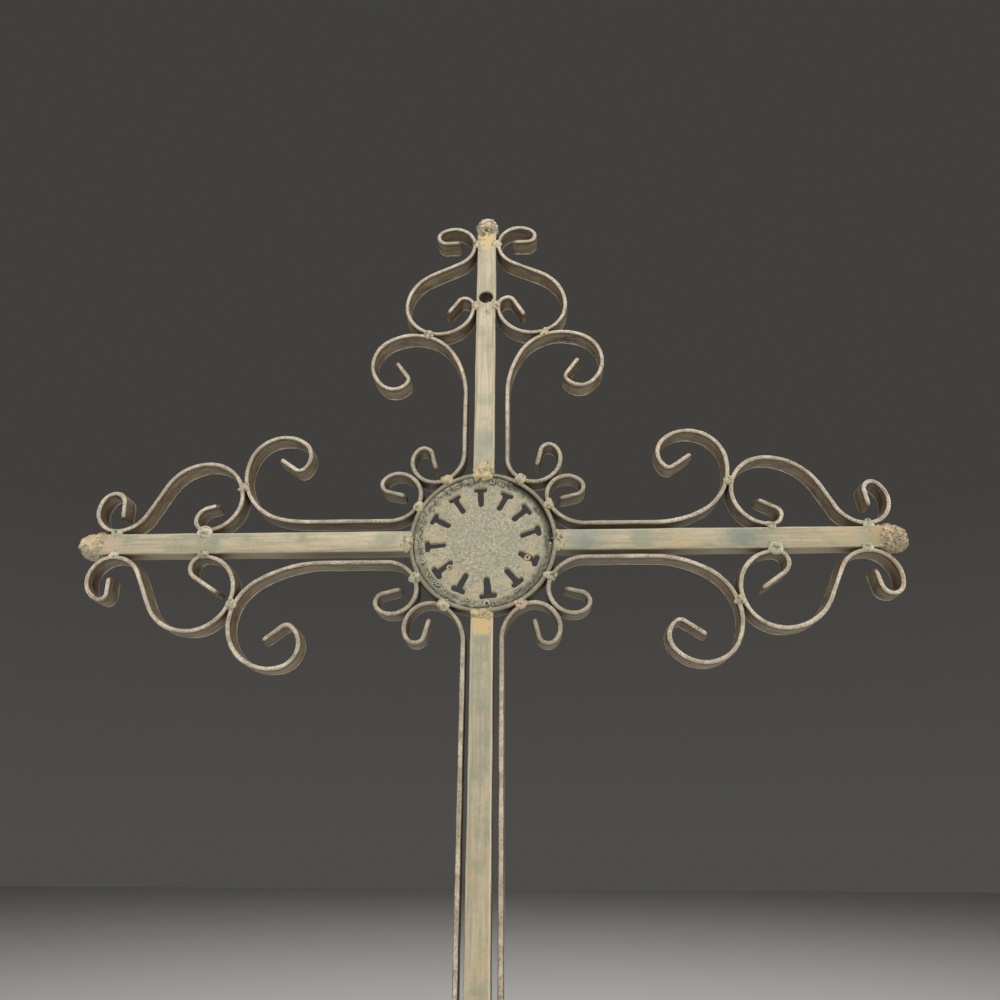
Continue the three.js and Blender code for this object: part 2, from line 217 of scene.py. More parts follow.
def tubeCoat(name, along, patches):
    # Thin satin enamel brushed over mild steel tube: fine light and dark lines along the arm,
    # cloudy grey-green and warm areas between them, a darker coat and painted shade on the
    # sides, and pale paint rubbed along the corners.
    material, tree, coords, normal = startCoat(name)
    length, width = tubePaint["lineLength"], tubePaint["lineWidth"]
    sizes = (length, width, width) if along == "x" else (width, width, length)
    line = streaks(tree, coords, sizes, 4.0)
    cloud = mottle(tree, coords, tubePaint["cloudSize"], 5.0, 0.6)
    warm = mottle(tree, coords, tubePaint["warmSize"], 5.0, 0.6)
    grain = mottle(tree, coords, tubePaint["grainSize"], 3.0, 0.6)
    color = mixColor(tree, spread(tree, line, 0.37, 0.61), khaki["mid"], khaki["light"])
    color = mixColor(tree, spread(tree, cloud, 0.47, 0.64, 0, 0.85), color, khaki["green"])
    color = mixColor(tree, spread(tree, warm, 0.55, 0.68, 0, 0.6), color, khaki["tan"])
    color = mixColor(tree, spread(tree, line, 0.6, 0.7, 0, 0.5), color, khaki["side"])
    for place, radius, patchColor, soft in patches:
        color = mixColor(tree, patchMask(tree, coords, place, radius, soft), color, patchColor)
    level = maths(tree, "ABSOLUTE", onAxis(tree, normal, "Y"))  # 1 in front, 0 on the sides
    # the sides, turned away from front and back: a darker coat and painted shade
    color = mixColor(tree, spread(tree, level, 0.85, 0.2, 0, 0.8), color, khaki["side"])
    corner = spread(tree, level, 0.15, 0.45)
    corner = maths(tree, "MULTIPLY", corner, spread(tree, level, 0.97, 0.8))
    worn = maths(tree, "MULTIPLY", corner, spread(tree, cloud, 0.35, 0.6, 0.2, 0.75))
    color = mixColor(tree, worn, color, tubePaint["corner"])
    color = mixColor(tree, spread(tree, grain, 0.55, 0.72, 0, 0.35), color, khaki["shade"])
    finishCoat(tree, color, spread(tree, cloud, 0.3, 0.7, 0.42, 0.58), 0.1, grain, 0.08)
    return material


barPaint = {
    "brushLength": 9,
    "brushWidth": 2.2,
    "cloudSize": 8,
    "speckSize": 0.8,
    "wornSize": 3.5,
    "wall": "#867259",
    "wallDark": "#584834",
    "green": "#74735a",
    "dark": "#3d3126",
    "rim": "#a99b85",
    "rimLight": "#d4c6b0",
    "bareDark": "#26241f",
    "barePale": "#8d8a7c",
    "barePlace": (42.5, -4.5, -19.5),
    "bareSize": 5,
    "ringTone": "#58563f",
}
ringPaint = {
    **barPaint,
    "wall": "#7b705a",
    "wallDark": "#564a39",
    "dark": "#40372a",
    "rim": "#8f8870",
    "rimLight": "#b3aa92",
}


def barCoat(name, paint):
    # Khaki enamel over hot-rolled flat bar: brown and dark on its wide sides, partly painted
    # shade, with brush marks along the bar and specks of scale, paler paint rubbed along the front
    # and back edges with a painted highlight where they face straight out, a painted highlight
    # line along the back edge, one place where it is knocked off, and a greener, darker tone
    # round the ring.
    material, tree, coords, normal = startCoat(name)
    length = paint["brushLength"]
    line = streaks(tree, coords, (length, paint["brushWidth"], length), 5.0, 0.6)
    cloud = mottle(tree, coords, paint["cloudSize"], 5.0, 0.6)
    speck = mottle(tree, coords, paint["speckSize"], 3.0, 0.6)
    uneven = mottle(tree, coords, paint["wornSize"], 4.0)
    worn = spread(tree, uneven, 0.35, 0.65, -0.3 * mm, 0.3 * mm)
    place = onAxis(tree, coords, "Y")
    depth = maths(tree, "ABSOLUTE", maths(tree, "ADD", place, middle * mm))
    reach = maths(tree, "ADD", depth, worn)
    # the wide sides' brown, darker than the edges: the paint's own tone and partly painted shade
    color = mixColor(tree, spread(tree, line, 0.38, 0.62), paint["wallDark"], paint["wall"])
    color = mixColor(tree, spread(tree, cloud, 0.47, 0.62, 0, 0.7), color, paint["green"])
    nearEdge = spread(tree, reach, 2.6 * mm, 3.9 * mm, 0, 0.65)
    color = mixColor(tree, nearEdge, color, paint["dark"])
    color = mixColor(tree, spread(tree, speck, 0.56, 0.72, 0, 0.55), color, khaki["dirtAndShade"])
    edge = mixColor(tree, spread(tree, cloud, 0.38, 0.62), paint["rim"], paint["rimLight"])
    edge = mixColor(tree, spread(tree, line, 0.5, 0.7, 0, 0.45), edge, khaki["side"])
    edge = mixColor(tree, spread(tree, speck, 0.52, 0.66, 0, 0.7), edge, khaki["shade"])
    knocked = patchMask(tree, coords, paint["barePlace"], paint["bareSize"], 1.0)
    bare = mixColor(tree, spread(tree, line, 0.5, 0.56), paint["bareDark"], paint["barePale"])
    color = mixColor(tree, knocked, color, bare)
    level = maths(tree, "ABSOLUTE", onAxis(tree, normal, "Y"))
    # pale paint rubbed along the edges, with a painted highlight where they face straight out
    rubbed = spread(tree, reach, 4.2 * mm, 4.7 * mm)
    rubbed = maths(tree, "MULTIPLY", rubbed, spread(tree, level, 0.4, 0.97, 0.05, 1))
    color = mixColor(tree, rubbed, color, edge)
    # a painted highlight line along the back edge, in the edge paint
    backEdge = maths(tree, "SUBTRACT", place, worn)
    color = mixColor(tree, spread(tree, backEdge, -1.9 * mm, -1.4 * mm, 0, 0.9), color, edge)
    # greener and darker towards the ring
    nearRing = spread(tree, fromRingMiddle(tree, coords), 78 * mm, 48 * mm, 0, 0.34)
    color = mixColor(tree, nearRing, color, paint["ringTone"])
    finishCoat(tree, color, spread(tree, cloud, 0.3, 0.7, 0.38, 0.58), 0.15, speck, 0.12)
    return material


castPaint = {
    "sandSize": 0.9,
    "cloudSize": 9,
    "warmSize": 8,
    "sandDark": "#858069",
    "sandPale": "#bbb49c",
    "green": "#989984",
    "tan": "#b8a988",
    # the seam's weld tones with painted shade in the groove, darkest on the right
    "seamDarkAndShade": ("#4d493d", "#1f1c16"),  # on the left, on the right
    "seamPale": ("#a29c88", "#6f6a5a"),
    "filler": "#737464",
    "fillerPlace": (-22, -front, centre - 22),
    "fillerSize": 12,
    "shadow": "#17140f",
    "shadowPlace": (27, -front, centre + 15),
    "shadowSize": 18,
}


def castCoat(name):
    # Matt enamel on sand-cast iron: the sand's grain, drawn at 0.9 mm so that it shows, gives
    # light and dark specks all over, with tan and grey-green areas between the slots, a darker
    # seam where the plate is welded into its ring, with painted shade in the groove that is
    # darkest on the right, a painted shadow along the outer edge at the upper right, and grime
    # and painted shade in the hollows.
    paint = castPaint
    material, tree, coords, _ = startCoat(name)
    sand = mottle(tree, coords, paint["sandSize"], 3.0, 0.7)
    cloud = mottle(tree, coords, paint["cloudSize"], 5.0, 0.65)
    warm = mottle(tree, coords, paint["warmSize"], 5.0, 0.65)
    away = fromRingMiddle(tree, coords)
    color = mixColor(tree, spread(tree, sand, 0.36, 0.62), paint["sandDark"], paint["sandPale"])
    color = mixColor(tree, spread(tree, cloud, 0.48, 0.64, 0, 0.55), color, paint["green"])
    between = spread(tree, away, 13 * mm, 20 * mm, 0, 0.75)
    tan = maths(tree, "MULTIPLY", spread(tree, warm, 0.47, 0.6), between)
    color = mixColor(tree, tan, color, paint["tan"])
    ragged = spread(tree, mottle(tree, coords, 2.5), 0.3, 0.7, -1.2 * mm, 1.2 * mm)
    onSeam = spread(tree, maths(tree, "ADD", away, ragged), 27.6 * mm, 29.2 * mm, 0, 0.8)
    # darker on the right: painted shade in the groove between plate and ring
    rightHand = spread(tree, onAxis(tree, coords, "X"), -8 * mm, 18 * mm)
    seamDarkAndShade = mixColor(tree, rightHand, *paint["seamDarkAndShade"])
    seamPale = mixColor(tree, rightHand, *paint["seamPale"])
    lumpy = spread(tree, mottle(tree, coords, 1.5, 4.0), 0.4, 0.62)
    color = mixColor(tree, onSeam, color, mixColor(tree, lumpy, seamDarkAndShade, seamPale))
    filler = patchMask(tree, coords, paint["fillerPlace"], paint["fillerSize"])
    color = mixColor(tree, maths(tree, "MULTIPLY", onSeam, filler), color, paint["filler"])
    shadow = patchMask(tree, coords, paint["shadowPlace"], paint["shadowSize"])
    outermost = spread(tree, away, 29.3 * mm, 30.4 * mm)
    color = mixColor(tree, maths(tree, "MULTIPLY", outermost, shadow), color, paint["shadow"])
    # grime and painted shade in the hollows
    color = mixColor(tree, crevices(tree, 1.6), color, khaki["dirtAndShade"])
    finishCoat(tree, color, spread(tree, cloud, 0.3, 0.7, 0.55, 0.75), 0.1, sand, 0.3)
    return material


def weldCoat(name, base, dark):
    # Enamel over a gas weld: a smooth lumpy skin, dark where it was thin, with a few open pores,
    # and grime and painted shade in its hollows.
    material, tree, coords, _ = startCoat(name)
    soft = mottle(tree, coords, 1.6, 2.0)
    cloud = mottle(tree, coords, 3)
    cells = {"Scale": 1 / (1.7 * mm), "Randomness": 1.0}
    pores = addNode(tree, "ShaderNodeTexVoronoi", cells, {"Vector": coords}).outputs["Distance"]
    color = mixColor(tree, spread(tree, soft, 0.34, 0.52), dark, base)
    color = mixColor(tree, spread(tree, cloud, 0.52, 0.66, 0, 0.4), color, khaki["green"])
    color = mixColor(tree, spread(tree, pores, 0.15, 0.09), color, khaki["dirtAndShade"])
    # grime and painted shade in the weld's hollows, in its dark tone
    color = mixColor(tree, crevices(tree, 0.8), color, dark)
    finishCoat(tree, color, spread(tree, soft, 0.3, 0.7, 0.32, 0.5), 0.15, soft, 0.25)
    return material


ballPaint = {
    "pitSize": 1.5,
    "cloudSize": 5,
    "fleckSize": 0.6,
    "pit": "#7b6c54",
    "green": "#9b9882",
    "tan": "#cfb58f",
    "scorch": "#54452f",
    "fleck": "#dccbb0",
    "tip": "#3d3832",
    "tipSize": 3.4,
    "dirtAndShade": "#3a2f22",
}


def ballCoat(name, skin):
    # Enamel over a steel ball and its weld: tan paint and a painted highlight on the front,
    # grey-green below, rubbed to bare dark steel at the very tip, and grime and painted shade in
    # its hollows.
    paint = ballPaint
    material, tree, coords, _ = startCoat(name)
    pit = mottle(tree, coords, paint["pitSize"], 4.0, 0.65)
    cloud = mottle(tree, coords, paint["cloudSize"], 4.0, 0.6)
    fleck = mottle(tree, coords, paint["fleckSize"], 3.0, 0.6)
    color = mixColor(tree, spread(tree, pit, 0.36, 0.58), paint["pit"], skin["base"])
    color = mixColor(tree, spread(tree, cloud, 0.48, 0.62, 0, 0.6), color, paint["green"])
    # tan paint and a painted highlight on the front
    tan = patchMask(tree, coords, skin["tanAndHighlightPlace"], skin["tanAndHighlightSize"])
    color = mixColor(tree, tan, color, paint["tan"])
    scorched = spread(tree, pit, 0.5, 0.6, 0, skin["scorch"])
    color = mixColor(tree, scorched, color, paint["scorch"])
    color = mixColor(tree, spread(tree, fleck, 0.55, 0.68, 0, 0.6), color, paint["fleck"])
    tip = patchMask(tree, coords, skin["tip"], paint["tipSize"])
    color = mixColor(tree, tip, color, paint["tip"])
    # grime and painted shade in the hollows
    color = mixColor(tree, crevices(tree, 1.5), color, paint["dirtAndShade"])
    finishCoat(tree, color, spread(tree, pit, 0.3, 0.7, 0.2, 0.42), 0.3, fleck, 0.2)
    return material


flatCoat = barCoat("khaki enamel on flat bar", barPaint)
ringCoat = barCoat("khaki enamel on ring bar", ringPaint)
welds = {
    "khaki": weldCoat("khaki enamel on weld", "#b3a688", "#6f654e"),
    "tan": weldCoat("tan enamel on weld", "#bfab83", "#8c7852"),
    "pale": weldCoat("pale enamel on weld", "#c8bda5", "#80775f"),
    "pink": weldCoat("pinkish tan enamel on weld", "#c2a588", "#86705a"),
    "green": weldCoat("grey-green enamel on weld", "#b0ab91", "#6f6c56"),
}
print("coats mixed")


def deselectAll():
    bpy.ops.object.select_all(action="DESELECT")


def makeActive(piece):
    deselectAll()
    piece.select_set(True)
    bpy.context.view_layer.objects.active = piece


def applyModifier(piece, kind, **settings):
    makeActive(piece)
    bpy.ops.object.modifier_add(type=kind)
    modifier = piece.modifiers[-1]
    for key, value in settings.items():
        setattr(modifier, key, value)
    bpy.ops.object.modifier_apply(modifier=modifier.name)


def applyPlace(piece):
    makeActive(piece)
    bpy.ops.object.transform_apply(location=True, rotation=True, scale=True)


def addShape(addPrimitive, name, scale=(1, 1, 1), **settings):
    deselectAll()
    addPrimitive(**settings)
    piece = bpy.context.object
    piece.name = name
    piece.scale = scale
    applyPlace(piece)
    return piece


def joinPieces(main, others):
    makeActive(main)
    for other in others:
        other.select_set(True)
    bpy.ops.object.join()


def copyOf(piece, name):
    twin = piece.copy()
    twin.data = piece.data.copy()
    twin.name = name
    bpy.context.collection.objects.link(twin)
    return twin


def roughen(piece, size, strength):
    # the unevenness of hammering, casting or welding
    unevenness = bpy.data.textures.new("unevenness", "CLOUDS")
    unevenness.noise_scale = size * mm
    unevenness.noise_depth = 2
    settings = {"texture": unevenness, "texture_coords": "GLOBAL", "mid_level": 0.5}
    applyModifier(piece, "DISPLACE", strength=strength * mm, **settings)


def smoothShade(piece, degrees):
    makeActive(piece)
    bpy.ops.object.shade_smooth_by_angle(angle=math.radians(degrees))


def setMode(mode):
    bpy.ops.object.mode_set(mode=mode)


def selectAll():
    bpy.ops.mesh.select_all(action="SELECT")


def selectFaces(piece, test):
    bpy.ops.mesh.select_mode(type="FACE")
    bpy.ops.mesh.select_all(action="DESELECT")
    shape = bmesh.from_edit_mesh(piece.data)
    for face in shape.faces:
        face.select_set(test(face))
    bmesh.update_edit_mesh(piece.data)


def selectEdges(piece, test):
    bpy.ops.mesh.select_mode(type="EDGE")
    bpy.ops.mesh.select_all(action="DESELECT")
    shape = bmesh.from_edit_mesh(piece.data)
    for edge in shape.edges:
        if test(edge.verts[0].co, edge.verts[1].co):
            edge.select_set(True)
    bmesh.update_edit_mesh(piece.data)


def extrude(offset):
    bpy.ops.mesh.extrude_region_move(TRANSFORM_OT_translate={"value": offset})


def faceOutward():
    selectAll()
    bpy.ops.mesh.normals_make_consistent(inside=False)


def closeSkin(mergeDistance):
    # join a bent bar's stretches, without the faces shut in between them
    selectAll()
    bpy.ops.mesh.remove_doubles(threshold=mergeDistance * mm)
    bpy.ops.mesh.select_mode(type="FACE")
    bpy.ops.mesh.select_all(action="DESELECT")
    bpy.ops.mesh.select_interior_faces()
    bpy.ops.mesh.delete(type="ONLY_FACE")
    selectAll()
    bpy.ops.mesh.delete_loose(use_verts=True, use_edges=True, use_faces=False)
    faceOutward()
    setMode("OBJECT")


def finishBar(piece, coat):
    piece.data.materials.append(coat)
    roughen(piece, bar["waveSize"], bar["waves"])
    smoothShade(piece, 50)


def standUp(piece, turn):
    # from the bench, front up, to the wall, front towards -Y
    upright = Matrix.Rotation(math.radians(90), 4, "X")
    onArm = Matrix.Rotation(math.radians(turn), 4, "Z")
    piece.matrix_world = Matrix.Translation((0, 0, centreZ)) @ upright @ onArm @ piece.matrix_world
    applyPlace(piece)


def layStraight(at, heading, length):
    steps = max(1, round(length / bar["straightStep"]))
    step = Vector((math.cos(heading), math.sin(heading), 0)) * length * mm / steps
    for _ in range(steps):
        extrude(step)
    return at + step * steps


def bendRound(at, heading, radius, degrees, side):
    turn = math.radians(degrees) * side
    toCentre = math.copysign(radius * mm, turn)
    pivot = at + Vector((-math.sin(heading), math.cos(heading), 0)) * toCentre
    steps = max(2, math.ceil(abs(degrees) / bar["bendStep"]))
    bpy.ops.mesh.spin(steps=steps, angle=-turn, center=(pivot.x, pivot.y, 0), axis=(0, 0, 1))
    heading += turn
    return pivot - Vector((-math.sin(heading), math.cos(heading), 0)) * toCentre, heading


def layBar(name, x, y, ways, side):
    # A flat bar on edge, laid at one point of its line and bent both ways from there.
    # Each way is a heading and its bends: (radius, degrees), or (0, length) for a straight.
    start = Vector((x * mm, side * y * mm, middle * mm))
    piece = addShape(
        bpy.ops.mesh.primitive_plane_add,
        name,
        (bar["thickness"] * mm, bar["depth"] * mm, 1),
        size=1,
        location=start,
        rotation=(math.pi / 2, 0, math.radians(ways[0][0]) * side + math.pi / 2),
    )
    setMode("EDIT")
    roundSection(piece)
    for number, (degrees, bends) in enumerate(ways):
        if number > 0:  # back to the first end, to bend the rest of the bar
            near = 0.05 * mm
            selectFaces(
                piece, lambda face: (face.calc_center_median().xy - start.xy).length < near
            )
        heading = math.radians(degrees) * side
        at = start.copy()
        for radius, amount in bends:
            if radius == 0:
                at = layStraight(at, heading, amount)
            else:
                at, heading = bendRound(at, heading, radius, amount, side)
        drawTip(at, heading)
    closeSkin(0.005)
    finishBar(piece, flatCoat)
    return piece


def roundSection(piece):
    # rolled bar has rounded corners
    bpy.ops.mesh.select_mode(type="VERT")
    selectAll()
    bpy.ops.mesh.bevel(offset=bar["edgeRound"] * mm, segments=4, affect="VERTICES")
    selectEdges(piece, lambda a, b: abs(a.z - b.z) > middle * mm)
    bpy.ops.mesh.subdivide(number_cuts=2)
    selectAll()


def drawTip(at, heading):
    # the cut end, its corners ground round
    onward = Vector((math.cos(heading), math.sin(heading), 0))
    reach, depth = 0, middle
    for degrees, thin in ((25, 1), (50, 0.97), (70, 0.9), (90, 0.7)):
        angle = math.radians(degrees)
        newReach = bar["tipRound"] * math.sin(angle)
        newDepth = middle - bar["tipRound"] * (1 - math.cos(angle))
        step = onward * (newReach - reach) * mm
        extrude(step)
        at = at + step
        bpy.ops.transform.resize(value=(thin, thin, newDepth / depth), center_override=at)
        reach, depth = newReach, newDepth


outerScroll = {
    "endInset": 20.5,  # from the ball's end to the end curl's weld
    "rise": (14.2, 63.8),
    "shoulder": 22.8,
    "loopTop": 17.4,
    "loopFoot": 17.2,
    "hook": (5, 90),
    "endCurl": (11.1, 127.7),
    "endClose": (4.1, 142.8),
    "endTip": 8,
}
innerScroll = {
    "lift": (46.5, 31.5),
    "side": (24, 85.8),
    "crown": (16.4, 113.4),
    "curl": (8.1, 96.6),
    "close": (3, 67.7),
    "tip": 11.3,
    "ringTouch": 29.5,  # degrees from the arm to the weld on the ring
    "ringCurlMid": (8, 45),
    "ringCurlClose": (4.1, 121),
    "ringTip": 8.5,
}
tube = {
    "width": 10,
    "wall": 1.2,
    "corner": 1.4,
    "tuck": 2,  # how far it reaches into the ring before it is coped
    "step": 4,
    "waveSize": 24,
    "waves": 0.4,
}
halfTube = tube["width"] / 2
contactLine = halfTube + gap + halfBar

# The scrolls were bent by hand, so they differ: in the gap beside the tube, in how far the
# ring curl leans over the diagonal, in how much nearer the ball the outer scroll sits (slide),
# in the hook's last bend and tip, and in their curls.
evenBend = {
    **outerScroll,
    **innerScroll,
    "runGap": 3,
    "leanOffset": 0,
    "slide": 0,
    "hookClose": (4.2, 60),
    "hookTip": 11.5,
}
bends = {
    "top_left": {"runGap": 3.3, "hookClose": (3.2, 55), "hookTip": 10.2},
    "top_right": {"runGap": 5, "leanOffset": 1.1, "hookClose": (3.5, 60), "hookTip": 11},
    "right_upper": {
        "runGap": 1.8,
        "leanOffset": -1.1,
        "slide": 2,
        "shoulder": 25.7,
        "loopTop": 17.2,
        "loopFoot": 16.1,
        "hookClose": (3, 61.5),
        "hookTip": 9.7,
        "endCurl": (11.2, 134.2),
        "endClose": (4, 142.8),
        "lift": (47.1, 25),
        "side": (26.4, 73.3),
        "crown": (16.8, 127.5),
        "curl": (9.3, 90.4),
        "close": (3, 79.4),
        "tip": 11.5,
        "ringCurlMid": (8.7, 45),
    },
    "right_lower": {
        "runGap": 2.2,
        "hookClose": (6, 55),
        "hookTip": 13,
        "endCurl": (12.4, 110),
        "endClose": (4.6, 150),
    },
    "left_upper": {
        "runGap": 3.8,
        "slide": 2.2,
        "shoulder": 20.4,
        "loopTop": 18.6,
        "loopFoot": 15.2,
        "hookClose": (6.2, 75),
        "hookTip": 5,
        "endCurl": (10.7, 122.7),
        "endClose": (5.4, 143.1),
        "lift": (48.2, 15),
        "side": (24.6, 92.6),
        "crown": (16.1, 111.6),
        "curl": (8.8, 98.8),
        "close": (3, 77.5),
        "tip": 10.3,
        "ringCurlMid": (8.6, 45),
    },
    "left_lower": {
        "runGap": 3.9,
        "slide": 1.1,
        "shoulder": 21.2,
        "loopTop": 18.4,
        "loopFoot": 16.1,
        "hookClose": (5.8, 57.3),
        "hookTip": 14.5,
        "endCurl": (10.2, 158.5),
        "endClose": (2.8, 114.6),
        "lift": (55.7, 31.3),
        "side": (21.9, 71.5),
        "crown": (20.2, 87.7),
        "curl": (10, 136.1),
        "close": (3, 71.8),
        "tip": 10.7,
    },
    "foot_left": {"runGap": 1.9, "ringCurlMid": (7.3, 45)},
    "foot_right": {"runGap": 2.5},
}
bends = {key: {**evenBend, **bend} for key, bend in bends.items()}


def planOuter(armLength, bend):
    rise, turn = bend["rise"]
    angle = math.radians(turn)
    bothRadii = rise + bend["shoulder"]
    climb = bothRadii * (1 - math.cos(angle))
    slope = (bend["loopTop"] + bend["loopFoot"] - climb) / math.sin(angle)
    reach = bothRadii * math.sin(angle) + slope * math.cos(angle)
    touch = armLength - bend["endInset"] + bend["slide"]
    loop = Vector((touch - reach, contactLine + bend["loopFoot"]))
    hookTouch = loop.x - bend["loopTop"] + bend["loopFoot"]
    return {"touch": touch, "slope": slope, "loop": loop, "hookTouch": hookTouch}


def planInner(outer, bend):
    lift, liftTurn = bend["lift"]
    sideRadius = bend["side"][0]
    run = halfTube + bend["runGap"] + halfBar
    spreadOut = lift - sideRadius
    angle = math.radians(liftTurn)
    sideY = run + lift - spreadOut * math.cos(angle)
    between = sideRadius + bend["loopTop"] + bar["thickness"] + gap
    sideX = outer["loop"].x - math.sqrt(between**2 - (sideY - outer["loop"].y) ** 2)
    share = (sideRadius + halfBar + gap / 2) / between
    touchAngle = math.radians(bend["ringTouch"])
    ringTouch = Vector((math.cos(touchAngle), math.sin(touchAngle))) * ringLine
    bendRadius = (ringTouch.y - run) / (1 - math.sin(touchAngle))
    leave = touchAngle + math.pi / 2
    toDiagonal = (ringTouch.x - ringTouch.y) / math.sqrt(2) + bend["leanOffset"]
    lean = (math.sin(leave) + math.cos(leave)) / math.sqrt(2)
    return {
        "run": run,
        "start": sideX - spreadOut * math.sin(angle),
        "headTouch": Vector((sideX, sideY)).lerp(outer["loop"], share),
        "ringTouch": ringTouch,
        "bendStart": (ringLine + bendRadius) * math.cos(touchAngle),
        "bendRadius": bendRadius,
        "curlRadius": (toDiagonal - halfBar - gap / 2) / (1 - lean),
    }


def makeOuterScroll(name, plan, bend, side):
    rise, turn = bend["rise"]
    inward = [
        (rise, -turn),
        (0, plan["slope"]),
        (bend["shoulder"], turn),
        (bend["loopTop"], 90),
        (bend["loopFoot"], 90),
        bend["hook"],
        bend["hookClose"],
        (0, bend["hookTip"] - bar["tipRound"]),
    ]
    outward = [bend["endCurl"], bend["endClose"], (0, bend["endTip"] - bar["tipRound"])]
    return layBar(name, plan["touch"], contactLine, [(180, inward), (0, outward)], side)


def makeInnerScroll(name, plan, bend, side):
    leave = bend["ringTouch"] + 90
    inward = [
        (0, plan["start"] - plan["bendStart"]),
        (plan["bendRadius"], leave - 180),
        (plan["curlRadius"], -leave),
        (bend["ringCurlMid"][0], -bend["ringCurlMid"][1]),
        (bend["ringCurlClose"][0], -bend["ringCurlClose"][1]),
        (0, bend["ringTip"] - bar["tipRound"]),
    ]
    outward = [bend["lift"], bend["side"], bend["crown"], bend["curl"], bend["close"]]
    outward.append((0, bend["tip"] - bar["tipRound"]))
    return layBar(name, plan["start"], plan["run"], [(180, inward), (0, outward)], side)


# A weld is a few lumps of one pattern, each turned and sized a little differently, with
# spatter around it.
weld = {
    "radius": 2.3,
    "flatness": 0.5,
    "lumps": 0.65,
    "lumpSize": 2.8,
    "beads": 5,
    "spatter": 7,
    "spatterReach": 3.2,
    "dropRadius": 0.5,
    "dropFlatness": 0.6,
    "craterRadius": 1.0,
    "craterRim": 0.42,
}


def makeLump():
    piece = addShape(
        bpy.ops.mesh.primitive_ico_sphere_add,
        "lumpPattern",
        (1, 1, weld["flatness"]),
        subdivisions=4,
        radius=weld["radius"] * mm,
    )
    roughen(piece, weld["lumpSize"], weld["lumps"])
    smoothShade(piece, 60)
    return piece


def makeDrop():
    piece = addShape(
        bpy.ops.mesh.primitive_ico_sphere_add,
        "dropPattern",
        (1, 1, weld["dropFlatness"]),
        subdivisions=2,
        radius=weld["dropRadius"] * mm,
    )
    smoothShade(piece, 60)
    return piece


def makeCrater():
    # a burst bubble in the weld's skin
    piece = addShape(
        bpy.ops.mesh.primitive_torus_add,
        "craterPattern",
        major_radius=weld["craterRadius"] * mm,
        minor_radius=weld["craterRim"] * mm,
        major_segments=28,
        minor_segments=12,
    )
    roughen(piece, 0.8, 0.15)
    smoothShade(piece, 60)
    return piece


lumpPattern, dropPattern, craterPattern = makeLump(), makeDrop(), makeCrater()


def setDown(pattern, coat, x, y, z, turn, scale):
    twin = copyOf(pattern, "weldPart")
    twin.matrix_world = (
        Matrix.Translation((x * mm, y * mm, z * mm))
        @ Matrix.Rotation(turn, 4, "Z")
        @ Matrix.Diagonal((*scale, 1))
    )
    applyPlace(twin)
    twin.data.materials.append(coat)
    return twin


def weldAt(piece, spots):
    # each spot is x, y, height, size and coat, with any spatter strewn along the arm
    parts = []
    for x, y, z, size, coat, strewn in spots:
        for number in range(weld["beads"]):
            turn = random.uniform(0, 2 * math.pi)
            away = random.uniform(0.7, 1.7) * size * (number > 0)
            s = size * (random.uniform(0.9, 1.05) if number == 0 else random.uniform(0.45, 0.7))
            place = (x + away * math.cos(turn), y + away * math.sin(turn), z - 0.1 * (number > 0))
            scale = (s * random.uniform(0.9, 1.25), s * random.uniform(0.75, 1.05), s)
            parts.append(setDown(lumpPattern, welds[coat], *place, turn, scale))
        for _ in range(weld["spatter"] if strewn else 0):
            s = random.uniform(0.5, 1.1)
            place = (
                x + random.gauss(0, weld["spatterReach"]),
                max(-4.2, min(4.2, y * 0.7 + random.gauss(0, 1.4))),
                front - 0.02,
            )
            parts.append(setDown(dropPattern, welds[coat], *place, 0, (s, s, s)))
    joinPieces(piece, parts)


ball = {
    "diameter": 13,
    "skinInset": 0.35,
    "lumps": 1.0,
    "lumpSize": 4,
    "blisterSize": 1.9,
    "pits": 0.3,
    "pitSize": 0.9,
    "collarLumps": 28,
    "collarStep": 2.4,  # radians
    "mostDepth": 6.8,
    "voxel": 0.32,
}
ballRadius = ball["diameter"] / 2
ballToMouth = math.sqrt((ballRadius + gap) ** 2 - (halfTube - tube["wall"]) ** 2)
hole = {"diameter": 7.5, "sides": 48}


def cutRound(name, radius, x, sides):
    return addShape(
        bpy.ops.mesh.primitive_cylinder_add,
        name,
        vertices=sides,
        radius=radius * mm,
        depth=40 * mm,
        location=(x * mm, 0, middle * mm),
    )


def makeTube(name, armLength, hasHole, coat):
    start = ringRadius - tube["tuck"]
    end = armLength - ballRadius - ballToMouth
    piece = addShape(
        bpy.ops.mesh.primitive_cube_add,
        name,
        ((end - start) * mm, tube["width"] * mm, tube["width"] * mm),
        size=1,
        location=((start + end) / 2 * mm, 0, middle * mm),
    )
    setMode("EDIT")
    selectEdges(piece, lambda a, b: abs(a.x - b.x) > 5 * mm)
    bpy.ops.mesh.bevel(offset=tube["corner"] * mm, segments=5, affect="EDGES")
    selectFaces(piece, lambda face: abs(face.normal.x) > 0.9)
    bpy.ops.mesh.inset(thickness=tube["wall"] * mm)
    bpy.ops.mesh.bridge_edge_loops()
    selectEdges(piece, lambda a, b: abs(a.x - b.x) > 5 * mm)
    bpy.ops.mesh.subdivide(number_cuts=round((end - start) / tube["step"]))
    faceOutward()
    setMode("OBJECT")
    roughen(piece, tube["waveSize"], tube["waves"])
    cutters = [cutRound("cope", ringRadius + 0.05, 0, 160)]
    if hasHole:
        cutters.append(cutRound("drill", hole["diameter"] / 2, holeFromCentre, hole["sides"]))
    for cutter in cutters:
        cutAway(piece, cutter)
    smoothShade(piece, 35)
    piece.data.materials.append(coat)
    return piece


def cutAway(piece, cutter):
    applyModifier(piece, "BOOLEAN", operation="DIFFERENCE", object=cutter, solver="EXACT")
    bpy.data.objects.remove(cutter)


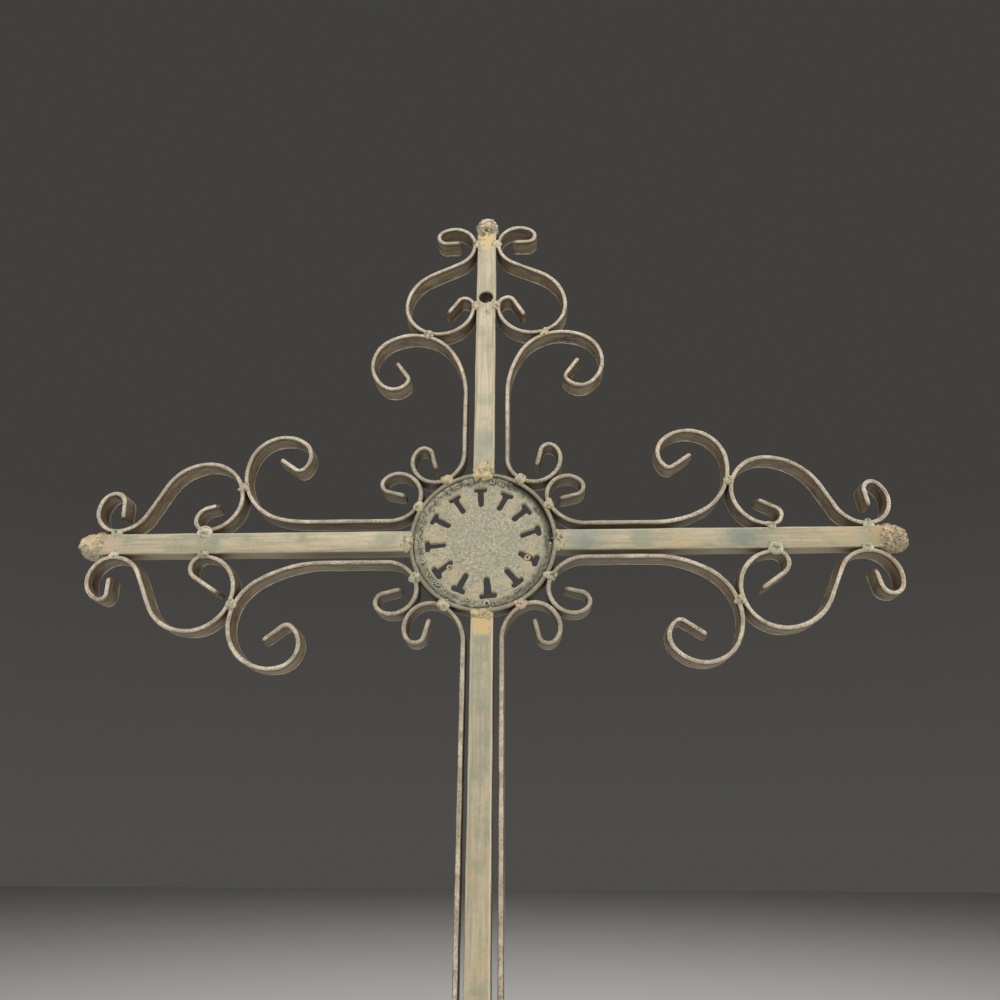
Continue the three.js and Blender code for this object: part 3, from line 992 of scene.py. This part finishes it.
def makeBall(name, armLength, blisters, coat):
    piece = addShape(
        bpy.ops.mesh.primitive_ico_sphere_add,
        name,
        subdivisions=5,
        radius=(ballRadius - ball["skinInset"]) * mm,
        location=((armLength - ballRadius) * mm, 0, middle * mm),
    )
    mouth = armLength - ballRadius - ballToMouth
    collar = []
    for number in range(ball["collarLumps"]):
        around = number * ball["collarStep"] + random.uniform(-0.3, 0.3)
        square = max(abs(math.cos(around)), abs(math.sin(around)))
        reach = (halfTube + 0.1) / square if square > 0.8 else halfTube + 1.0
        s = random.uniform(0.6, 1.15)
        place = (
            (mouth + random.uniform(-1.4, 3.2)) * mm,
            reach * math.cos(around) * mm,
            (middle + 0.92 * reach * math.sin(around)) * mm,
        )
        lump = copyOf(lumpPattern, "collar")
        lump.matrix_world = (
            Matrix.Translation(place)
            @ Matrix.Rotation(around - math.pi / 2, 4, "X")
            @ Matrix.Diagonal((1.25 * s, s, s, 1))
        )
        applyPlace(lump)
        collar.append(lump)
    joinPieces(piece, collar)
    applyModifier(piece, "REMESH", mode="VOXEL", voxel_size=ball["voxel"] * mm)
    applyModifier(piece, "SMOOTH", factor=0.5, iterations=2)
    roughen(piece, ball["lumpSize"], ball["lumps"])
    roughen(piece, ball["blisterSize"], blisters)
    roughen(piece, ball["pitSize"], ball["pits"])
    halfDepth = max(abs(corner[2] - middle * mm) for corner in piece.bound_box)
    squeeze = min(1, ball["mostDepth"] * mm / halfDepth)
    makeActive(piece)
    setMode("EDIT")
    selectAll()
    bpy.ops.transform.resize(value=(1, 1, squeeze), center_override=(0, 0, middle * mm))
    setMode("OBJECT")
    smoothShade(piece, 60)
    piece.data.materials.clear()
    piece.data.materials.append(coat)
    return piece


def makeRing():
    piece = addShape(
        bpy.ops.mesh.primitive_plane_add,
        "ringSkin",
        (bar["thickness"] * mm, bar["depth"] * mm, 1),
        size=1,
        location=((ringRadius - halfBar) * mm, 0, middle * mm),
        rotation=(math.pi / 2, 0, 0),
    )
    setMode("EDIT")
    selectEdges(piece, lambda a, b: abs(a.z - b.z) > 1 * mm)
    bpy.ops.mesh.subdivide(number_cuts=2)
    selectAll()
    bpy.ops.mesh.spin(steps=120, angle=2 * math.pi, center=(0, 0, 0), axis=(0, 0, 1))
    closeSkin(0.02)
    corners = {"limit_method": "ANGLE", "angle_limit": 0.9}
    applyModifier(piece, "BEVEL", width=bar["edgeRound"] * mm, segments=4, **corners)
    finishBar(piece, ringCoat)
    return piece


# The pierced plate. Each slot is its direction, how much wider its head is, and how far the
# head leans to the left of its stem.
rosette = {
    "thickness": 2.6,
    "recess": 1.6,
    "lipWidth": 1.2,
    "clearance": 0.5,
    "lipHeight": 0.7,
    "slotInner": 16.6,
    "slotOuter": 26.6,
    "slotWidth": 2.7,
    "headWidth": 6,
    "headDepth": 2.5,
    "voxel": 0.36,
    "slots": [
        (93.4, 1.05, 0),
        (65.4, 1.05, -0.4),
        (37.4, 1.0, 0.2),
        (9, 0.85, 1.0),
        (-19.4, 0.9, -1.0),
        (-52, 1.05, 0.2),
        (-84.4, 1.25, 0),
        (-115.1, 1.1, -0.2),
        (-145, 1.1, 0.3),
        (-174.8, 0.95, 0),
        (154, 1.0, -0.2),
        (122.6, 1.05, 0),
    ],
}
# the lumpy bead that fills the joint between plate and ring, open at the upper right
seam = {
    "start": 68,
    "sweep": 310,
    "radius": 1.25,
    "inset": 0.5,
    "lift": 0.2,
    "lumps": 1.5,
    "lumpSize": 1.7,
}
# The bubbles that stand out, as direction, distance from the middle and size. The two nearest
# the middle are drips between the slots.
bubbles = [
    (-86, 29.4, 1.1),
    (-92, 29.9, 0.8),
    (-80, 29.6, 0.7),
    (-134, 28.2, 0.8),
    (-22, 21.5, 1.0),
    (-140, 19.4, 0.9),
    (-58, 27.6, 0.7),
    (172, 29.6, 0.8),
    (180, 29.2, 0.7),
    (188, 29.5, 0.8),
    (165, 29.7, 0.6),
    (200, 29.3, 0.6),
]


def makeSlotCore():
    # the T-shaped core of one slot: a stem with a round inner end, and a bar across its outer end
    r = rosette
    half = r["slotWidth"] / 2
    neck = r["slotOuter"] - r["headDepth"]
    core = addShape(
        bpy.ops.mesh.primitive_plane_add,
        "slotCore",
        ((neck - r["slotInner"]) * mm, r["slotWidth"] * mm, 1),
        size=1,
        location=((r["slotInner"] + neck) / 2 * mm, 0, 25 * mm),
    )
    setMode("EDIT")
    selectEdges(core, lambda a, b: min(a.x, b.x) > (neck - 0.1) * mm)
    extrude((r["headDepth"] * mm, 0, 0))
    wing = (r["headWidth"] - r["slotWidth"]) / 2
    for side in (1, -1):
        selectEdges(
            core,
            lambda a, b: (a.x + b.x) / 2 > (neck + 0.1) * mm
            and min(side * a.y, side * b.y) > (half - 0.1) * mm,
        )
        extrude((0, side * wing * mm, 0))
    bpy.ops.mesh.select_mode(type="FACE")
    selectAll()
    extrude((0, 0, -40 * mm))
    faceOutward()
    inner = (r["slotInner"] + 0.1) * mm
    selectEdges(core, lambda a, b: abs(a.z - b.z) > 1 * mm and max(a.x, b.x) < inner)
    bpy.ops.mesh.bevel(offset=0.95 * half * mm, segments=4, affect="EDGES")
    outside = (half + 0.1) * mm
    selectEdges(
        core,
        lambda a, b: abs(a.z - b.z) > 1 * mm and min(abs(a.y), abs(b.y)) > outside,
    )
    bpy.ops.mesh.bevel(offset=0.9 * mm, segments=3, affect="EDGES")
    setMode("OBJECT")
    return core


def cutSlot(piece, core, number, direction, widen, leanLeft):
    r = rosette
    neck = (r["slotOuter"] - r["headDepth"] - 0.1) * mm
    cutter = copyOf(core, "core" + str(number))
    makeActive(cutter)
    setMode("EDIT")
    selectEdges(cutter, lambda a, b: min(a.x, b.x) > neck)
    bpy.ops.transform.resize(value=(1, widen, 1), center_override=(r["slotOuter"] * mm, 0, 0))
    bpy.ops.transform.translate(value=(0, leanLeft * mm, 0))
    setMode("OBJECT")
    uneven = (random.uniform(0.985, 1.015), random.uniform(0.95, 1.1), 1, 1)
    turned = Matrix.Rotation(math.radians(direction), 4, "Z")
    cutter.matrix_world = turned @ Matrix.Diagonal(uneven)
    applyPlace(cutter)
    cutAway(piece, cutter)


def makeRosette():
    r = rosette
    radius = ringRadius - bar["thickness"] - r["clearance"]
    face = front - r["recess"]
    piece = addShape(
        bpy.ops.mesh.primitive_cylinder_add,
        "rosetteSkin",
        vertices=120,
        radius=radius * mm,
        depth=(r["thickness"] + r["lipHeight"]) * mm,
        location=(0, 0, (face + (r["lipHeight"] - r["thickness"]) / 2) * mm),
    )
    setMode("EDIT")
    selectFaces(piece, lambda side: side.normal.z > 0.9)
    bpy.ops.mesh.inset(thickness=r["lipWidth"] * mm)
    extrude((0, 0, -r["lipHeight"] * mm))
    setMode("OBJECT")
    core = makeSlotCore()
    for number, slot in enumerate(r["slots"]):
        cutSlot(piece, core, number, *slot)
    bpy.data.objects.remove(core)
    joinPieces(piece, [makeSeam(radius, face)])
    applyModifier(piece, "REMESH", mode="VOXEL", voxel_size=r["voxel"] * mm)
    applyModifier(piece, "SMOOTH", factor=0.5, iterations=3)
    roughen(piece, 6, 0.45)
    roughen(piece, 1.3, 0.3)
    smoothShade(piece, 80)
    piece.data.materials.clear()
    piece.data.materials.append(castCoat("khaki enamel on sand-cast iron"))
    smallBubbles = [
        (direction + random.uniform(-3, 3), random.uniform(27.4, 29.8), random.uniform(0.45, 0.95))
        for direction in range(70, 262, 11)
    ]
    craters = []
    for direction, away, s in bubbles + smallBubbles:
        angle = math.radians(direction)
        tint = "pink" if away < 24 else "green"
        height = face + (0.1 if away < 28 else 0.75)
        place = (away * math.cos(angle), away * math.sin(angle), height)
        craters.append(setDown(craterPattern, welds[tint], *place, angle, (s, s, 0.8)))
    joinPieces(piece, craters)
    return piece


def makeSeam(radius, face):
    start = math.radians(seam["start"])
    reach = radius - seam["inset"]
    bead = addShape(
        bpy.ops.mesh.primitive_circle_add,
        "seam",
        vertices=12,
        radius=seam["radius"] * mm,
        fill_type="NGON",
        location=(
            reach * math.cos(start) * mm,
            reach * math.sin(start) * mm,
            (face + seam["lift"]) * mm,
        ),
        rotation=(math.pi / 2, 0, start),
    )
    setMode("EDIT")
    selectAll()
    sweep = -math.radians(seam["sweep"])
    bpy.ops.mesh.spin(steps=150, angle=sweep, center=(0, 0, 0), axis=(0, 0, 1))
    faceOutward()
    setMode("OBJECT")
    roughen(bead, seam["lumpSize"], seam["lumps"])
    return bead


arms = {
    "right": {"length": shortArm, "turn": 0, "sides": ("upper", "lower")},
    "top": {"length": shortArm, "turn": 90, "sides": ("left", "right")},
    "left": {"length": leftArm, "turn": 180, "sides": ("lower", "upper")},
    "foot": {"length": footArm, "turn": 270, "sides": ("right", "left")},
}
# welds that took the paint differently
tints = {
    "foot_right_ring": "pink",
    "top_left_ring": "tan",
    "top_right_head": "tan",
    "right_lower_ring": "green",
    "left_lower_ring": "green",
    "top_tube": "tan",
    "foot_tube": "tan",
}
# the welds on the tubes that stand out, with their size and paint
pools = {
    "right_lower_hook": (1.35, "green"),
    "left_upper_hook": (1.4, "pale"),
    "left_lower_end": (0.95, "pale"),
    "top_right_end": (1.1, "pale"),
}
# patches of other paint on the tubes: place, size, paint and softness of the edge
tubePatches = {
    "top": [
        ((0, -10, centre + ringRadius), 3.4, khaki["patch"], 0.6),
        ((0, -10, centre + shortArm - 15), 4.6, khaki["patch"], 0.8),
        ((0.5, -10, centre + shortArm - 20), 3.4, khaki["patch"], 0.8),
        ((0, -10, centre + ringRadius + 16), 5, khaki["green"], 5),
    ],
    "foot": [((0, -10, centre - ringRadius - 4.5), 4.9, khaki["patch"], 0.6)],
    "left": [((-leftArm + 15, -10, centre - 1), 5, "#c2ab8c", 4)],
    "right": [
        ((ringRadius + 12, -10, centre - 1), 7, khaki["slate"], 6),
        ((117, -10, centre), 8, khaki["slate"], 6),
        ((shortArm - 15, -10, centre + 1), 4, "#b79c6f", 3),
    ],
}
# each ball's paint, its bare tip, its tan patch with a painted highlight, how scorched it is and
# how blistered
ballSkins = {
    "right": {
        "base": "#bfa67c",
        "tip": (shortArm - 0.5, -7.5, centre),
        "tanAndHighlightPlace": (shortArm - 12, -11, centre + 5),
        "tanAndHighlightSize": 3.6,
        "scorch": 0.8,
        "blisters": 1.4,
    },
    "left": {
        "base": "#c3b593",
        "tip": (-leftArm + 0.8, -6, centre - 4),
        "tanAndHighlightPlace": (-leftArm + 6, -11, centre + 5),
        "tanAndHighlightSize": 6.2,
        "scorch": 0.25,
        "blisters": 0.8,
    },
    "top": {
        "base": "#9c9078",
        "tip": (4, -middle, centre + shortArm),
        "tanAndHighlightPlace": (0, -12, centre + shortArm - 6),
        "tanAndHighlightSize": 3.0,
        "scorch": 0.6,
        "blisters": 0.9,
    },
    "foot": {
        "base": "#b8a988",
        "tip": (0, -middle, centre - footArm),
        "tanAndHighlightPlace": (0, -12, centre - footArm + 8),
        "tanAndHighlightSize": 5.0,
        "scorch": 0.5,
        "blisters": 1.0,
    },
}
# the heap of weld that runs over the ring above the plate: place from the ring's edge, size
topHeap = [(1.5, 0.5, 1.35), (-1.6, -1.2, 1.2), (-1, 2.6, 1.1), (3.8, -0.6, 0.9)]
burstBubble = {"fromHole": 9.5, "sideways": -1.2, "size": 1.1}
pieces = {}


def keepPiece(piece, node, turn):
    standUp(piece, turn)
    pieces[node] = piece


def makeScrolls(armName, arm, sideName, side):
    # both scrolls on one side of an arm, and the places of their welds on the tube
    key = armName + "_" + sideName
    label = sideName.capitalize()
    bend = bends[key]
    outer = planOuter(arm["length"], bend)
    inner = planInner(outer, bend)
    outerPiece = makeOuterScroll(armName + "OuterScroll" + label, outer, bend, side)
    innerPiece = makeInnerScroll(armName + "InnerScroll" + label, inner, bend, side)
    onRing = inner["ringTouch"] * 0.985
    onHead = inner["headTouch"]
    ringTint = tints.get(key + "_ring", "khaki")
    headTint = tints.get(key + "_head", "khaki")
    weldAt(
        innerPiece,
        [
            (onRing.x, side * onRing.y, front - 0.2, 1.05, ringTint, False),
            (onHead.x, side * onHead.y, front - 0.3, 1.0, headTint, False),
        ],
    )
    keepPiece(outerPiece, f"{armName}_outer_scroll_{sideName}", arm["turn"])
    keepPiece(innerPiece, f"{armName}_inner_scroll_{sideName}", arm["turn"])
    edge = side * (halfTube + 0.2)
    tubeSpots = []
    for place, weldName, tint in (("hookTouch", "_hook", "khaki"), ("touch", "_end", "green")):
        size, tint = pools.get(key + weldName, (1.0, tint))
        tubeSpots.append((outer[place], edge, front - 0.5, size, tint, True))
    return tubeSpots


for armName, arm in arms.items():
    length = arm["length"]
    along = "x" if armName in ("left", "right") else "z"
    coat = tubeCoat("khaki enamel on " + armName + " tube", along, tubePatches[armName])
    hasHole = armName == "top"
    tubePiece = makeTube(armName + "TubeSkin", length, hasHole, coat)
    tubeSpots = []
    for side, sideName in zip((1, -1), arm["sides"]):
        tubeSpots += makeScrolls(armName, arm, sideName, side)
    tubeTint = tints.get(armName + "_tube", "khaki")
    for y in (-2.6, 0, 2.6):
        x = ringRadius + random.uniform(0.2, 1.6)
        tubeSpots.append((x, y, front - 0.35, 1.0, tubeTint, y == 0))
    if hasHole:
        for x, y, size in topHeap:
            tubeSpots.append((ringRadius + x, y, front - 0.1, size, tubeTint, False))
    weldAt(tubePiece, tubeSpots)
    if hasHole:
        place = (holeFromCentre - burstBubble["fromHole"], burstBubble["sideways"], front - 0.15)
        scale = (burstBubble["size"], burstBubble["size"], 0.8)
        joinPieces(tubePiece, [setDown(craterPattern, welds["khaki"], *place, 0, scale)])
    keepPiece(tubePiece, armName + "_tube", arm["turn"])
    skin = ballSkins[armName]
    coat = ballCoat("worn enamel on " + armName + " ball", skin)
    ballPiece = makeBall(armName + "BallSkin", length, skin["blisters"], coat)
    keepPiece(ballPiece, armName + "_ball", arm["turn"])
    print(armName, "arm made")

keepPiece(makeRing(), "ring", 0)
keepPiece(makeRosette(), "rosette", 0)
for pattern in (lumpPattern, dropPattern, craterPattern):
    bpy.data.objects.remove(pattern)
print("ring and rosette made")

for node, piece in pieces.items():
    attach(piece, "root")
    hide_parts(node)

studio = {
    "floorDrop": 150,
    "floorSize": 12000,
    "sky": 0.2,
    "lamps": {
        "keyLamp": {"place": (-150, -1150, 650), "size": 800, "power": 9.6},
        "rightLamp": {"place": (1500, -500, 250), "size": 1200, "power": 17},
        "leftLamp": {"place": (-1500, -500, 250), "size": 1200, "power": 11},
        "topLamp": {"place": (300, 300, 2600), "size": 3000, "power": 60},
    },
}

deselectAll()
bpy.ops.mesh.primitive_plane_add(
    size=studio["floorSize"] * mm, location=(0, 0, cadBox[0][2] - studio["floorDrop"] * mm)
)
floor = bpy.context.object
floor.name = "floor"
paper, paperTree, paperCoords, _ = startCoat("pale studio paper")
finishCoat(
    paperTree,
    mixColor(paperTree, mottle(paperTree, paperCoords, 400), "#dfddd8", "#e6e4df"),
    spread(paperTree, mottle(paperTree, paperCoords, 300), 0, 1, 0.85, 0.95),
    0.0,
    mottle(paperTree, paperCoords, 20),
    0.01,
)
floor.data.materials.append(paper)

world = bpy.data.worlds.new("studio")
world.use_nodes = True
air = world.node_tree
heading = addNode(air, "ShaderNodeTexCoord").outputs["Generated"]
height = addNode(air, "ShaderNodeSeparateXYZ", {}, {0: heading}).outputs["Z"]
backdrop = mixColor(air, spread(air, height, 0.0, 0.35), "#a5a39e", "#8d8b86")
air.links.new(backdrop, air.nodes["Background"].inputs["Color"])
world.node_tree.nodes["Background"].inputs["Strength"].default_value = studio["sky"]
bpy.context.scene.world = world
bpy.context.scene.view_settings.view_transform = "Standard"


def addLamp(name, place, size, power):
    deselectAll()
    at = Vector(place) * mm
    aim = Vector((0, 0, centreZ)) - at
    bpy.ops.object.light_add(
        type="AREA", location=at, rotation=aim.to_track_quat("-Z", "Y").to_euler()
    )
    lamp = bpy.context.object
    lamp.name = name
    lamp.data.shape = "DISK"
    lamp.data.size = size * mm
    lamp.data.energy = power


for name, lamp in studio["lamps"].items():
    addLamp(name, **lamp)

# The photograph's camera: in front of the cross, below its middle, looking up at it.
view = {
    "place": (21.4, -335.1, -256.6),
    "look": (-0.0386, 0.9164, 0.3984),
    "up": (0.0127, -0.3982, 0.9172),
    "focal": 0.770,  # in image widths
    "sensor": 36,
}
deselectAll()
bpy.ops.object.camera_add()
camera = bpy.context.object
camera.name = "photoCamera"
camera.data.sensor_width = view["sensor"]
camera.data.lens = view["sensor"] * view["focal"]
camera.data.clip_start = 0.01
back = -Vector(view["look"]).normalized()
right = Vector(view["up"]).cross(back).normalized()
turned = Matrix((right, back.cross(right), back)).transposed().to_4x4()
camera.matrix_world = Matrix.Translation(Vector(view["place"]) * mm) @ turned
bpy.context.scene.camera = camera
print("stage set")
